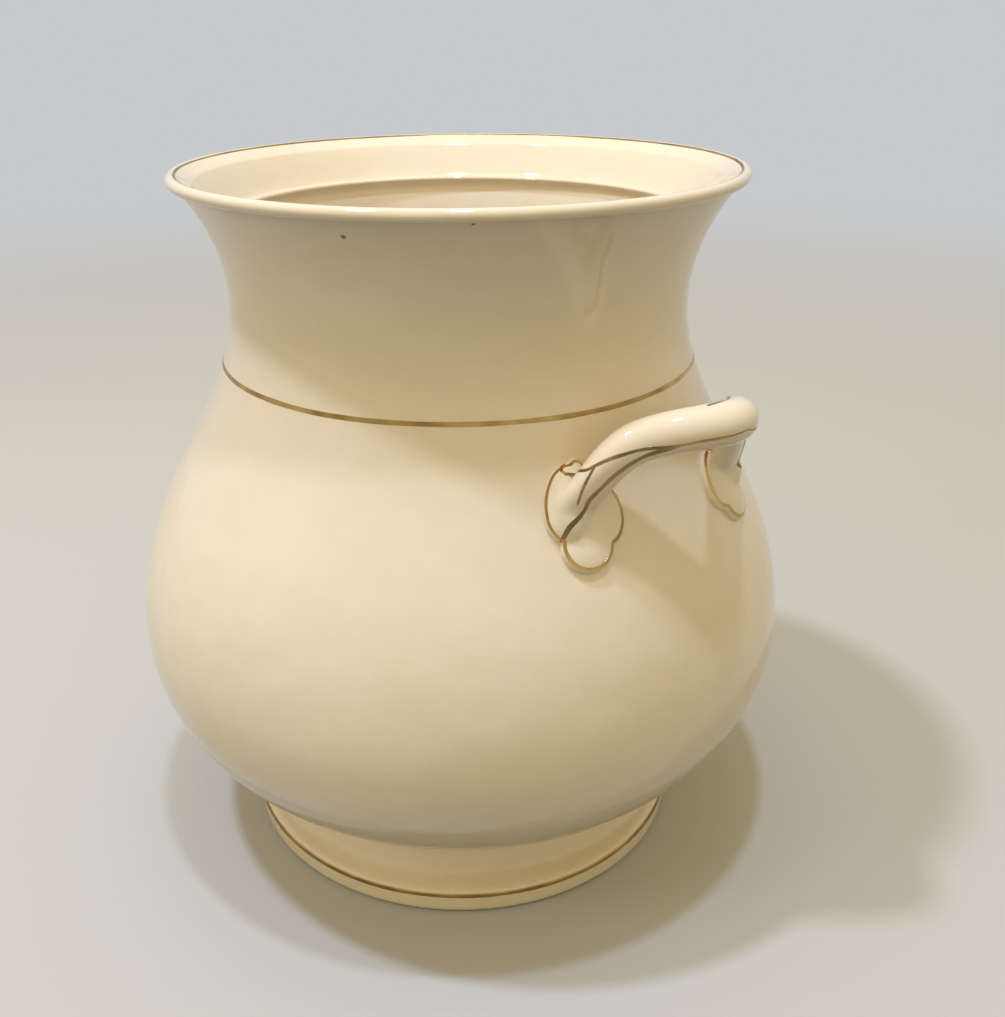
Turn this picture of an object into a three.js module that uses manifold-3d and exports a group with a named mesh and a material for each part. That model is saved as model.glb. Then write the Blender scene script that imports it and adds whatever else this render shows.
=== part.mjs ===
import * as THREE from 'three';
import { mergeVertices } from 'three/addons/utils/BufferGeometryUtils.js';
import Module from 'manifold-3d';

// Slop pail in glazed earthenware: a foot ring, a round bowl and a waisted neck luted together,
// a rolled lip, a ledge inside the mouth that a lid rests on, and two applied handles that spring
// from leaf sprigs. Gilt lines run round the lip, the neck, the foot, the leaves and the grips.
// Millimetres, +Z up. The origin is the centre of the foot's underside, the handles lie along X.

// Driving dimensions: the heights of the sections, from the floor up
const footHeight = 30;
const bowlHeight = 193;
const neckHeight = 72.4;
const lipHeight = 4.6;

// Outside of the wall: radii, their rise above the section's own bottom, and the wall's lean,
// which is how far the radius grows for each millimetre of rise
const footWaistRadius = 89;
const footWaistLean = 1.65;
const underbellyRadius = 122.5;
const underbellyRise = 22.5;
const underbellyLean = 0.93;
const bellyRadius = 144.8;
const bellyRise = 77;
const shoulderRadius = 129.3;
const shoulderRise = 135;
const shoulderLean = -0.505;
const waistRadius = 96.4;
const waistRise = 24.5;
const mouthRadius = 113.4;
const mouthLean = 0.757;

// Wall and floor
const wallThickness = 5.2;
const floorThickness = 7;
const floorCorner = 9;

// Foot ring
const footEdgeRadius = 102;
const footEdgeHeight = 11.4;
const footEdgeRound = 3.2;
const footTread = 9;
const footWall = 9.5;
const footRecessFlare = 4;
const footSweepReach = 7;
const footSweepRise = 6;
const footShoulderRise = 1.5;

// Rolled lip and the ledge under it
const lipRound = 2.4;
const lipOverhang = 3.6;
const ledgeDrop = 13.6;
const ledgeReach = 4.6;
const ledgeSeat = 2.4;
const ledgeRise = 7;
const ledgeUnder = 7.5;
const ledgeNose = 1.1;

// Leaf sprigs that the handles spring from. Each handle is set by hand with its right end a little
// low, seen from outside: the slope is the drop for each millimetre along it
const leafRise = 157.3;
const handleSlope = 0.07;
const leafSpacing = 78;
const leafCrown = 3.6;
const leafEdge = 1.5;
const leafBorder = 2;
const leafWidth = 32;

// Handle grips: the crown in the middle and three stations down each limb, with how far each
// stands off the wall, its rise above the bowl's bottom and its width and depth
const rootShift = 4.6;
const rootSink = 5;
const rootRise = 154;
const rootWidth = 17.6;
const rootDepth = 11;
const springShift = 1;
const springLift = 8.6;
const springRise = 168.8;
const springWidth = 17.5;
const springDepth = 10.5;
const armSide = 27;
const armLift = 22.5;
const armRise = 186.6;
const armWidth = 15.6;
const armDepth = 14.5;
const crownLift = 40;
const crownRise = 194;
const crownWidth = 15.8;
const crownDepth = 15.6;

// Gilt lines
const giltThickness = 0.3;
const lipLineWidth = 1.8;
const neckLineWidth = 2;
const footLineWidth = 2;
const footLineLevel = 9.3;
const leafLineWidth = 1.7;
const veinWidth = 1.6;

// Clearances: a slip of air under a laid-on piece, and under a piece that is cut to fit
const laidGap = 0.15;
const veinGap = 0.27;
const cutGap = 0.3;

// Fineness
const turnSteps = 48;
const wallSteps = 8;
const leafSteps = 36;
const gripSides = 12;
const gripSteps = 28;
const veinSteps = 11;

// Levels that follow from the heights
const seamLevel = footHeight + bowlHeight;
const neckTop = seamLevel + neckHeight;

const glaze = new THREE.MeshStandardMaterial({ color: 0xefe3c6, roughness: 0.18, metalness: 0 });
const gilt = new THREE.MeshStandardMaterial({ color: 0xb98a3c, roughness: 0.3, metalness: 1 });

const pail = new THREE.Group();

function addPiece(name, geometry, material) {
  const piece = new THREE.Mesh(geometry, material);
  piece.name = name;
  pail.add(piece);
}

// Outer wall: a smooth curve through the stations, radius as a function of level
const stations = [
  { level: footHeight, radius: footWaistRadius, lean: footWaistLean },
  { level: footHeight + underbellyRise, radius: underbellyRadius, lean: underbellyLean },
  { level: footHeight + bellyRise, radius: bellyRadius, lean: 0 },
  { level: footHeight + shoulderRise, radius: shoulderRadius, lean: shoulderLean },
  { level: seamLevel + waistRise, radius: waistRadius, lean: 0 },
  { level: neckTop, radius: mouthRadius, lean: mouthLean },
];

function wallAt(level) {
  let i = 0;
  while (i < stations.length - 2 && level > stations[i + 1].level) i += 1;
  const low = stations[i];
  const high = stations[i + 1];
  const span = high.level - low.level;
  const t = (level - low.level) / span;
  const radius = (2 * t ** 3 - 3 * t ** 2 + 1) * low.radius
    + (t ** 3 - 2 * t ** 2 + t) * span * low.lean
    + (3 * t ** 2 - 2 * t ** 3) * high.radius
    + (t ** 3 - t ** 2) * span * high.lean;
  const lean = (6 * t ** 2 - 6 * t) * (low.radius - high.radius) / span
    + (3 * t ** 2 - 4 * t + 1) * low.lean
    + (3 * t ** 2 - 2 * t) * high.lean;
  return { radius, lean };
}

function innerRadius(level) {
  const { radius, lean } = wallAt(level);
  return radius - wallThickness * Math.hypot(1, lean);
}

// A point on the wall at an angle round the pail and a level, raised square to the wall
function onWall(angle, level, raise) {
  const { radius, lean } = wallAt(level);
  const reach = radius + raise / Math.hypot(1, lean);
  const height = level - raise * lean / Math.hypot(1, lean);
  return new THREE.Vector3(reach * Math.cos(angle), reach * Math.sin(angle), height);
}

function levels(from, to, steps) {
  return Array.from({ length: steps + 1 }, (_, i) => from + (to - from) * i / steps);
}

// A body of revolution about Z from an outline of [radius, level] pairs, inside first going up
function turned(outline) {
  const onAxis = outline[0][0] === 0;
  const ring = onAxis ? outline : [...outline, outline[0]];
  const points = ring.map(([radius, level]) => new THREE.Vector2(radius, level));
  const geometry = new THREE.LatheGeometry(points, turnSteps);
  geometry.rotateX(Math.PI / 2);
  return geometry;
}

// A closed body from rings of points. An end is a centre point, a flat lid, or joins the other end
function lofted(rings, ends) {
  const positions = [];
  const triangles = [];
  const sides = rings[0].length;
  for (const ring of rings) {
    for (const point of ring) positions.push(point.x, point.y, point.z);
  }
  const laps = ends === 'joined' ? rings.length : rings.length - 1;
  for (let i = 0; i < laps; i += 1) {
    const here = i * sides;
    const next = ((i + 1) % rings.length) * sides;
    for (let j = 0; j < sides; j += 1) {
      const k = (j + 1) % sides;
      triangles.push(here + j, here + k, next + k, here + j, next + k, next + j);
    }
  }
  if (ends !== 'joined') {
    const [first, last] = ends;
    const lastRing = (rings.length - 1) * sides;
    positions.push(first.x, first.y, first.z, last.x, last.y, last.z);
    const firstPoint = rings.length * sides;
    for (let j = 0; j < sides; j += 1) {
      const k = (j + 1) % sides;
      triangles.push(firstPoint, k, j, firstPoint + 1, lastRing + j, lastRing + k);
    }
  }
  const geometry = new THREE.BufferGeometry();
  geometry.setAttribute('position', new THREE.Float32BufferAttribute(positions, 3));
  geometry.setIndex(triangles);
  return geometry;
}

// Foot ring: a moulded edge with a concave sweep up to the bowl, hollow underneath
const footOutside = new THREE.Path();
footOutside.moveTo(footEdgeRadius - footEdgeRound, 0);
footOutside.absarc(footEdgeRadius - footEdgeRound, footEdgeRound, footEdgeRound, -Math.PI / 2, 0);
footOutside.lineTo(footEdgeRadius, footEdgeHeight - footEdgeRound);
footOutside.absarc(
  footEdgeRadius - footEdgeRound, footEdgeHeight - footEdgeRound, footEdgeRound, 0, Math.PI * 0.3);
footOutside.bezierCurveTo(
  footEdgeRadius - footSweepReach, footEdgeHeight + footShoulderRise,
  footWaistRadius + footShoulderRise, footEdgeHeight + footSweepRise,
  footWaistRadius, footHeight);
const footProfile = footOutside.getPoints(3).map(({ x, y }) => [x, y]);
const treadInside = footEdgeRadius - footEdgeRound - footTread;
addPiece('foot_ring', turned([
  [footWaistRadius - footWall, footHeight],
  [treadInside - footRecessFlare, footEdgeHeight],
  [treadInside, 0],
  ...footProfile,
]), glaze);

// Bowl: flat underneath where the foot is luted on, open at the seam with the neck
const floorLevel = footHeight + floorThickness;
addPiece('bowl', turned([
  [0, footHeight],
  ...levels(footHeight, seamLevel, wallSteps * 2).map((level) => [wallAt(level).radius, level]),
  ...levels(seamLevel, floorLevel + floorCorner, wallSteps * 2 - 2).map((level) => [innerRadius(level), level]),
  [innerRadius(floorLevel + floorCorner / 2) - floorCorner / 4, floorLevel + floorCorner / 4],
  [innerRadius(floorLevel) - floorCorner, floorLevel],
  [0, floorLevel],
]), glaze);

// Neck: waisted and flared, from the seam to the flat that carries the lip
addPiece('neck', turned([
  ...levels(seamLevel, neckTop, wallSteps).map((level) => [wallAt(level).radius, level]),
  ...levels(neckTop, seamLevel, wallSteps).map((level) => [innerRadius(level), level]),
]), glaze);

// Lip: a roll that hangs over the outside of the neck
const lipCentre = mouthRadius + lipOverhang - lipRound;
const lipLevel = neckTop + lipHeight - lipRound;
function lipPoint(turn, raise) {
  return [
    lipCentre + (lipRound + raise) * Math.cos(turn),
    lipLevel + (lipRound + raise) * Math.sin(turn),
  ];
}
addPiece('lip', turned([
  [innerRadius(neckTop), neckTop],
  [mouthRadius, neckTop],
  ...levels(-Math.PI * 0.4, Math.PI * 0.95, 9).map((turn) => lipPoint(turn, 0)),
]), glaze);

// Ledge for the lid: luted to the inside of the neck, with a narrow flat and a rounded nose
const seatLevel = neckTop - ledgeDrop;
const noseRadius = innerRadius(seatLevel) - ledgeReach;
const ledgeTop = seatLevel + ledgeRise;
const ledgeBottom = seatLevel - ledgeUnder;
addPiece('lid_ledge', turned([
  ...levels(ledgeBottom, ledgeTop, 4).map((level) => [innerRadius(level) - laidGap, level]),
  [noseRadius + ledgeSeat + 2.6 * ledgeNose, seatLevel + ledgeRise * 0.3],
  [noseRadius + ledgeNose + ledgeSeat, seatLevel],
  [noseRadius + ledgeNose, seatLevel],
  [noseRadius, seatLevel - ledgeNose],
  [noseRadius + ledgeNose, seatLevel - 2 * ledgeNose],
]), glaze);

// Gilt lines that run right round the pail
const lipLineTurn = Math.PI * 0.72;
const lipLineHalf = lipLineWidth / lipRound / 2;
addPiece('gilt_lip_line', turned([
  ...levels(lipLineTurn - lipLineHalf, lipLineTurn + lipLineHalf, 2)
    .map((turn) => lipPoint(turn, laidGap + giltThickness)),
  ...levels(lipLineTurn + lipLineHalf, lipLineTurn - lipLineHalf, 2)
    .map((turn) => lipPoint(turn, laidGap)),
]), gilt);

function wallLine(level, raise) {
  return [wallAt(level).radius + raise, level];
}
addPiece('gilt_neck_line', turned([
  wallLine(seamLevel - neckLineWidth / 2, laidGap),
  wallLine(seamLevel - neckLineWidth / 2, laidGap + giltThickness),
  wallLine(seamLevel + neckLineWidth / 2, laidGap + giltThickness),
  wallLine(seamLevel + neckLineWidth / 2, laidGap),
]), gilt);

addPiece('gilt_foot_line', turned([
  [footEdgeRadius + laidGap, footLineLevel - footLineWidth / 2],
  [footEdgeRadius + laidGap + giltThickness, footLineLevel - footLineWidth / 2],
  [footEdgeRadius + laidGap + giltThickness, footLineLevel + footLineWidth / 2],
  [footEdgeRadius + laidGap, footLineLevel + footLineWidth / 2],
]), gilt);

// Leaf outline: three rounded lobes and a small curl at the top, as shares of the leaf's width.
// Each lobe is an oval with its centre, half length, half width and the turn of its length.
// Side is measured away from the middle of the handle.
const lobes = [
  { side: 0.17, up: 0.15, long: 0.41, short: 0.3, turn: Math.PI * 0.59 },
  { side: -0.19, up: 0.0, long: 0.36, short: 0.31, turn: Math.PI * 0.45 },
  { side: 0.03, up: -0.29, long: 0.31, short: 0.28, turn: 0 },
  { side: 0.0, up: 0.49, long: 0.11, short: 0.11, turn: 0 },
];

// How far a lobe's edge lies from the leaf's centre in a direction, or 0 where the lobe isn't
function lobeReach(lobe, direction) {
  const dx = Math.cos(direction - lobe.turn);
  const dy = Math.sin(direction - lobe.turn);
  const cx = lobe.side * Math.cos(lobe.turn) + lobe.up * Math.sin(lobe.turn);
  const cy = lobe.up * Math.cos(lobe.turn) - lobe.side * Math.sin(lobe.turn);
  const a = (dx / lobe.long) ** 2 + (dy / lobe.short) ** 2;
  const b = dx * cx / lobe.long ** 2 + dy * cy / lobe.short ** 2;
  const c = (cx / lobe.long) ** 2 + (cy / lobe.short) ** 2 - 1;
  const root = b * b - a * c;
  return root > 0 ? Math.max(0, (b + Math.sqrt(root)) / a) : 0;
}

function leafReach(direction) {
  return leafWidth * Math.max(...lobes.map((lobe) => lobeReach(lobe, direction)));
}

// The middle of a leaf: hand is 1 for the end of a handle that is anticlockwise from above, else -1
function leafCentre(hand) {
  const level = footHeight + leafRise - hand * handleSlope * leafSpacing / 2;
  const { radius } = wallAt(level);
  return { level, radius, angle: hand * Math.asin(leafSpacing / 2 / radius) };
}

function leafRing(hand, facing, inset, share, raise) {
  const { level, radius, angle } = leafCentre(hand);
  return levels(0, Math.PI * 2, leafSteps).slice(0, -1).map((direction) => {
    const reach = (leafReach(direction) - inset) * share;
    const across = hand * reach * Math.cos(direction) / radius;
    return onWall(facing + angle + across, level + reach * Math.sin(direction), raise);
  });
}

function leafBody(hand, facing, grow, sink) {
  const { level, angle } = leafCentre(hand);
  const rings = [
    leafRing(hand, facing, -grow, 0.5, -sink),
    leafRing(hand, facing, -grow, 1, -sink),
    leafRing(hand, facing, -grow, 1, leafEdge + grow),
    leafRing(hand, facing, leafBorder - grow, 1, leafEdge + grow),
    leafRing(hand, facing, leafBorder, 0.6, leafEdge + (leafCrown - leafEdge) * 0.7 + grow),
  ];
  const ends = [-sink, leafCrown + grow].map((raise) => onWall(facing + angle, level, raise));
  return lofted(hand > 0 ? rings : rings.map((ring) => ring.reverse()), ends);
}

function leafLine(hand, facing, grow) {
  const low = leafEdge + laidGap - grow;
  const high = leafEdge + laidGap + giltThickness + grow;
  const edges = [
    leafRing(hand, facing, -grow, 1, low),
    leafRing(hand, facing, -grow, 1, high),
    leafRing(hand, facing, leafLineWidth + grow, 1, high),
    leafRing(hand, facing, leafLineWidth + grow, 1, low),
  ];
  const rings = edges[0].map((_, i) => edges.map((edge) => edge[i]));
  return lofted(hand < 0 ? rings : rings.reverse(), 'joined');
}

// Grip: centre line and section through the stations, in a frame of its own, with x sideways,
// y straight out from the pail and z up
function gripStation([side, lift, rise, width, depth]) {
  const level = footHeight + rise + handleSlope * side;
  const reach = Math.sqrt((wallAt(level).radius + lift) ** 2 - side ** 2);
  return { point: new THREE.Vector3(side, reach, level), size: new THREE.Vector3(width, depth, 0) };
}

const limb = [
  [leafSpacing / 2 + rootShift, -rootSink, rootRise, rootWidth, rootDepth],
  [leafSpacing / 2 + springShift, springLift, springRise, springWidth, springDepth],
  [armSide, armLift, armRise, armWidth, armDepth],
];
const crown = [0, crownLift, crownRise, crownWidth, crownDepth];
const farLimb = limb.toReversed().map(([side, ...rest]) => [-side, ...rest]);
const gripStations = [...limb, crown, ...farLimb].map(gripStation);
const gripLine = new THREE.CatmullRomCurve3(
  gripStations.map(({ point }) => point), false, 'catmullrom');
const gripSize = new THREE.CatmullRomCurve3(
  gripStations.map(({ size }) => size), false, 'catmullrom');
const outward = new THREE.Vector3(0, 1, 0);

// A point on the grip, a share of the way along it and at a turn round its section
function onGrip(along, turn, raise) {
  const size = gripSize.getPoint(along);
  const forward = gripLine.getTangent(along);
  const away = outward.clone().addScaledVector(forward, -outward.dot(forward)).normalize();
  const across = forward.clone().cross(away);
  return gripLine.getPoint(along)
    .addScaledVector(across, (size.x / 2 + raise) * Math.cos(turn))
    .addScaledVector(away, (size.y / 2 + raise) * Math.sin(turn));
}

// Turns the grip's own frame to the side of the pail that a handle faces
function placed(geometry, facing) {
  return geometry.rotateZ(facing - Math.PI / 2);
}

function gripBody() {
  const turns = levels(Math.PI * 2, 0, gripSides).slice(0, -1);
  const rings = levels(0, 1, gripSteps).map((along) => turns.map((turn) => onGrip(along, turn, 0)));
  return lofted(rings, [gripLine.getPoint(0), gripLine.getPoint(1)]);
}

// Gilt veins on a limb: the line's stations as shares of the way along the grip and turns
const veins = {
  upper: [[0.195, 1.18], [0.25, 0.93], [0.3, 0.75], [0.36, 0.545], [0.425, 0.48]],
  branch: [[0.13, 0.79], [0.18, 0.85], [0.232, 0.88]],
  lower: [[0.06, 0.75], [0.12, 0.71], [0.2, 0.68], [0.29, 0.57], [0.35, 0.475]],
};

function veinBody(stationsAlong, far) {
  const route = new THREE.CatmullRomCurve3(
    stationsAlong.map(([along, turn]) => new THREE.Vector3(along, turn * Math.PI, 0)));
  const rings = levels(0, 1, veinSteps).map((share) => {
    const { x, y } = route.getPoint(share);
    const half = veinWidth / (springWidth + springDepth) * 2;
    const along = far ? 1 - x : x;
    return [
      onGrip(along, y - half, veinGap),
      onGrip(along, y - half, veinGap + giltThickness),
      onGrip(along, y + half, veinGap + giltThickness),
      onGrip(along, y + half, veinGap),
    ];
  });
  const ends = [rings[0], rings[rings.length - 1]].map((ring) => (
    ring.reduce((sum, point) => sum.addScaledVector(point, 0.25), new THREE.Vector3())));
  return lofted(far ? rings : rings.map((ring) => ring.reverse()), ends);
}

const wasm = await Module();
wasm.setup();

function solid(geometry) {
  const bare = geometry.clone();
  bare.deleteAttribute('normal');
  bare.deleteAttribute('uv');
  const merged = mergeVertices(bare, 1e-4);
  return new wasm.Manifold(new wasm.Mesh({
    numProp: 3,
    vertProperties: merged.attributes.position.array,
    triVerts: new Uint32Array(merged.index.array),
  }));
}

function geometryOf(body) {
  const { vertProperties, triVerts } = body.getMesh();
  const geometry = new THREE.BufferGeometry();
  geometry.setAttribute('position', new THREE.BufferAttribute(vertProperties, 3));
  geometry.setIndex(new THREE.BufferAttribute(triVerts, 1));
  return geometry;
}

// What a grip's ends are cut by: the wall, the two leaves and their gilt, each grown by the gap
const cutBottom = footHeight + rootRise - leafWidth;
const wallCutter = solid(turned([
  [0, cutBottom],
  ...levels(cutBottom, seamLevel, wallSteps).map((level) => wallLine(level, cutGap)),
  [0, seamLevel],
]));

for (const [side, facing, backHand] of [['right', 0, 1], ['left', Math.PI, -1]]) {
  let grip = solid(placed(gripBody(), facing)).subtract(wallCutter);
  for (const [end, hand] of [['front', -backHand], ['back', backHand]]) {
    const name = `${side}_${end}`;
    addPiece(`leaf_${name}`, leafBody(hand, facing, 0, -laidGap), glaze);
    addPiece(`gilt_leaf_line_${name}`, leafLine(hand, facing, 0), gilt);
    grip = grip
      .subtract(solid(leafBody(hand, facing, cutGap, 1)))
      .subtract(solid(leafLine(hand, facing, cutGap)));
    for (const [vein, stationsAlong] of Object.entries(veins)) {
      const body = veinBody(stationsAlong, hand > 0);
      addPiece(`gilt_vein_${vein}_${name}`, placed(body, facing), gilt);
    }
  }
  addPiece(`grip_${side}`, geometryOf(grip), glaze);
}

export default pail;
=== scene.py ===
import math

import bmesh
import bpy
from mathutils import Matrix, Vector, noise
from mathutils.bvhtree import BVHTree


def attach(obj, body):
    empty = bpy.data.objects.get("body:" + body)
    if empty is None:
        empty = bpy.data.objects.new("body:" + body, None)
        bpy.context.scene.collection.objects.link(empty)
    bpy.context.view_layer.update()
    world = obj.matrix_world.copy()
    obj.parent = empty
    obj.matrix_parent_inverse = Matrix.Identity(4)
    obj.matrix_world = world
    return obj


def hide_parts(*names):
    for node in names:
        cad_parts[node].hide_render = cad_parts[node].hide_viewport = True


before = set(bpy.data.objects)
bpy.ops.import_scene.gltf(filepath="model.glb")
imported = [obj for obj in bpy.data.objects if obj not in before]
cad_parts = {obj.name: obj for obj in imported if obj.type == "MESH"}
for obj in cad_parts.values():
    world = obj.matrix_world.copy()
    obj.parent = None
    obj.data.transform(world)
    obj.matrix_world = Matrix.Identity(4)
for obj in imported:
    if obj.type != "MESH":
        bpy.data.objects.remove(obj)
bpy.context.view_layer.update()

# Bowl. The round body of ivory earthenware, thrown on the wheel, turned smooth when leather hard
# and glazed all over. Its outside is one long curve that runs on through the seam into the neck.
foot_height = 0.0300
seam_level = 0.2230
neck_top = 0.2954
mouth_radius = 0.1134
wall_thickness = 0.0052
floor_thickness = 0.0070
floor_corner = 0.0090
floor_corner_stretch = 1.6
floor_dish = 0.0005
floor_dish_radius = 0.0400
round_steps = 256

# level, radius and lean, which is how far the radius grows with each metre of rise
wall_stations = [
    (foot_height, 0.0890, 1.65),
    (0.0525, 0.1225, 0.93),
    (0.1070, 0.1447, 0.0),
    (0.1650, 0.1293, -0.505),
    (0.2475, 0.0964, 0.0),
    (neck_top, mouth_radius, 0.757),
]


def wall(level):
    """Radius and lean of the pail's outside at a level."""
    i = 0
    while i < len(wall_stations) - 2 and level > wall_stations[i + 1][0]:
        i += 1
    low, low_radius, low_lean = wall_stations[i]
    high, high_radius, high_lean = wall_stations[i + 1]
    span = high - low
    t = (level - low) / span
    radius = (
        (2 * t**3 - 3 * t**2 + 1) * low_radius
        + (t**3 - 2 * t**2 + t) * span * low_lean
        + (3 * t**2 - 2 * t**3) * high_radius
        + (t**3 - t**2) * span * high_lean
    )
    lean = (
        (6 * t**2 - 6 * t) * (low_radius - high_radius) / span
        + (3 * t**2 - 4 * t + 1) * low_lean
        + (3 * t**2 - 2 * t) * high_lean
    )
    return radius, lean


def inside(level):
    """Radius of the wall's inner face at a level."""
    radius, lean = wall(level)
    return radius - wall_thickness * math.hypot(1, lean)


def spread(first, last, steps):
    return [first + (last - first) * i / steps for i in range(steps + 1)]


mouth_lean = Vector((0.00075, 0.00083, 0))
lean_start = 0.195

# how uneven the wall is, and the waves in it as (fineness, strength)
wall_unevenness = 0.00022
wall_waves = [(17, 0.6), (41, 0.25)]


def settled(point):
    """Where a point of clay ends up: a thrown wall is never quite true, and its mouth leans."""
    ring = math.hypot(point.x, point.y)
    share = max(0.0, (point.z - lean_start) / (neck_top - lean_start))
    lean = mouth_lean * (share**2 * (3 - 2 * share) if share < 1 else 1.0)
    if ring < 1e-6:
        return point + lean
    wave = sum(noise.noise(point * fineness) * strength for fineness, strength in wall_waves)
    rise = min(1, point.z / foot_height)
    inward = wall_unevenness * (1 + wave) * rise
    return Vector((point.x * (1 - inward / ring), point.y * (1 - inward / ring), point.z)) + lean


sharp_turn = math.radians(50)


def finished(name, bm):
    """An object from a bmesh: doubles merged, faces out, smooth but for sharp turns."""
    bmesh.ops.remove_doubles(bm, verts=bm.verts, dist=1e-6)
    bmesh.ops.recalc_face_normals(bm, faces=bm.faces)
    mesh = bpy.data.meshes.new(name)
    bm.to_mesh(mesh)
    bm.free()
    mesh.shade_smooth()
    mesh.set_sharp_from_angle(angle=sharp_turn)
    piece = bpy.data.objects.new(name, mesh)
    bpy.context.scene.collection.objects.link(piece)
    return piece


def turned(name, outline):
    """A piece turned on the wheel from a closed outline of (radius, level)."""
    bm = bmesh.new()
    points = [bm.verts.new((radius, 0, level)) for radius, level in outline]
    edges = [bm.edges.new((a, b)) for a, b in zip(points, points[1:])]
    if outline[0][0] > 0:
        edges.append(bm.edges.new((points[-1], points[0])))
    bmesh.ops.spin(
        bm, geom=points + edges, cent=(0, 0, 0), axis=(0, 0, 1), angle=math.tau,
        steps=round_steps, use_merge=True,
    )
    for vert in bm.verts:
        vert.co = settled(vert.co)
    return finished(name, bm)


floor_level = foot_height + floor_thickness
corner_radius = inside(floor_level + floor_corner)
bowl = turned("bowl_body", [
    (0, foot_height),
    *[(wall(level)[0], level) for level in spread(foot_height, seam_level, 72)],
    *[(inside(level), level) for level in spread(seam_level, floor_level + floor_corner, 60)],
    *[
        (
            corner_radius - floor_corner * (1 - math.cos(turn)) * floor_corner_stretch,
            floor_level + floor_corner * (1 - math.sin(turn)),
        )
        for turn in spread(0, math.pi / 2, 8)[1:]
    ],
    (floor_dish_radius, floor_level - floor_dish * 0.6),
    (0, floor_level - floor_dish),
])


ivory = (0.845, 0.745, 0.610, 1)
# the darker, yellower glaze where it pools, also used as painted shade
pooled_and_shaded_ivory = (0.680, 0.565, 0.350, 1)
bisque = (0.560, 0.440, 0.300, 1)
speck_brown = (0.160, 0.110, 0.060, 1)
pit_brown = (0.120, 0.080, 0.045, 1)
glaze_wave_height = 0.00055
glaze_ripple_height = 0.00004
speck_depth = 0.00005
wiped_level = 0.0004
glazed_level = 0.0011

# a mix node's sockets by kind: its first and second input, and its result
mix_sockets = {"RGBA": (6, 7, 2), "FLOAT": (2, 3, 0)}


def fed(tree, socket, value):
    """Feeds a socket from another node's output, or sets it to a plain value."""
    if isinstance(value, bpy.types.NodeSocket):
        tree.links.new(value, socket)
    else:
        socket.default_value = value


def combined(tree, operation, first, second=0.0):
    """Two values put together by an operation, or one value changed by it."""
    node = tree.nodes.new("ShaderNodeMath")
    node.operation = operation
    fed(tree, node.inputs[0], first)
    fed(tree, node.inputs[1], second)
    return node.outputs[0]


def blend(tree, share, first, second, kind="RGBA"):
    """A mix of two colours, or of two plain values."""
    node = tree.nodes.new("ShaderNodeMix")
    node.data_type = kind
    first_socket, second_socket, result = mix_sockets[kind]
    fed(tree, node.inputs[0], share)
    fed(tree, node.inputs[first_socket], first)
    fed(tree, node.inputs[second_socket], second)
    return node.outputs[result]


def ramp(tree, source, low, high, to_low=0.0, to_high=1.0, soft=False):
    """Runs from to_low to to_high while the source runs from low to high, and stays there."""
    node = tree.nodes.new("ShaderNodeMapRange")
    if soft:
        node.interpolation_type = "SMOOTHSTEP"
    fed(tree, node.inputs["Value"], source)
    fed(tree, node.inputs["From Min"], low)
    fed(tree, node.inputs["From Max"], high)
    fed(tree, node.inputs["To Min"], to_low)
    fed(tree, node.inputs["To Max"], to_high)
    return node.outputs["Result"]


def clouds(tree, place, scale, detail, roughness=0.5):
    """Soft noise, finer with its scale."""
    node = tree.nodes.new("ShaderNodeTexNoise")
    node.inputs["Scale"].default_value = scale
    node.inputs["Detail"].default_value = detail
    node.inputs["Roughness"].default_value = roughness
    tree.links.new(place, node.inputs["Vector"])
    return node.outputs["Fac"]


def dots(tree, place, scale, core, edge, depth, rare):
    """Small dots, of which only a few of those that a pattern could hold are there."""
    cells = tree.nodes.new("ShaderNodeTexVoronoi")
    cells.inputs["Scale"].default_value = scale
    cells.inputs["Randomness"].default_value = 1.0
    tree.links.new(place, cells.inputs["Vector"])
    chance = tree.nodes.new("ShaderNodeSeparateColor")
    tree.links.new(cells.outputs["Color"], chance.inputs["Color"])
    dot = ramp(tree, cells.outputs["Distance"], core, edge, depth, 0.0)
    return combined(tree, "MULTIPLY", dot, ramp(tree, chance.outputs["Red"], rare, rare + 0.02))


def bumped(tree, height):
    """The normal over a height in metres."""
    bump = tree.nodes.new("ShaderNodeBump")
    bump.inputs["Strength"].default_value = 1.0
    bump.inputs["Distance"].default_value = 1.0
    tree.links.new(height, bump.inputs["Height"])
    return bump.outputs["Normal"]


def level_of(tree):
    """The level of each place on a piece."""
    split = tree.nodes.new("ShaderNodeSeparateXYZ")
    tree.links.new(tree.nodes.new("ShaderNodeTexCoord").outputs["Object"], split.inputs["Vector"])
    return split.outputs["Z"]


def shader_group(name, inputs, outputs):
    """A shader group with its start and its end, from (name, kind, value) and (name, kind)."""
    group = bpy.data.node_groups.new(name, "ShaderNodeTree")
    for title, kind, value in inputs:
        socket = group.interface.new_socket(title, in_out="INPUT", socket_type=kind)
        socket.default_value = value
    for title, kind in outputs:
        group.interface.new_socket(title, in_out="OUTPUT", socket_type=kind)
    return group, group.nodes.new("NodeGroupInput"), group.nodes.new("NodeGroupOutput")


def placed(tree, group, values):
    """A shader group in a material, with the material's own values for it."""
    node = tree.nodes.new("ShaderNodeGroup")
    node.node_tree = group
    for title, value in values.items():
        fed(tree, node.inputs[title], value)
    return node


def pool_and_shade_group():
    """How much darker the glaze is in a band of level, by pooling and painted shade: most in its
    middle, none past its edges.
    """
    group, start, end = shader_group("glaze_pool_and_shade", inputs=[
        ("Middle", "NodeSocketFloat", foot_height),
        ("Half Width", "NodeSocketFloat", 0.01),
        ("Amount", "NodeSocketFloat", 0.5),
    ], outputs=[
        ("Thickness", "NodeSocketFloat"),
    ])
    off = combined(group, "SUBTRACT", level_of(group), start.outputs["Middle"])
    pooled_and_shaded = ramp(
        group, combined(group, "ABSOLUTE", off), 0.0, start.outputs["Half Width"],
        start.outputs["Amount"], 0.0, soft=True)
    group.links.new(pooled_and_shaded, end.inputs["Thickness"])
    return group


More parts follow.
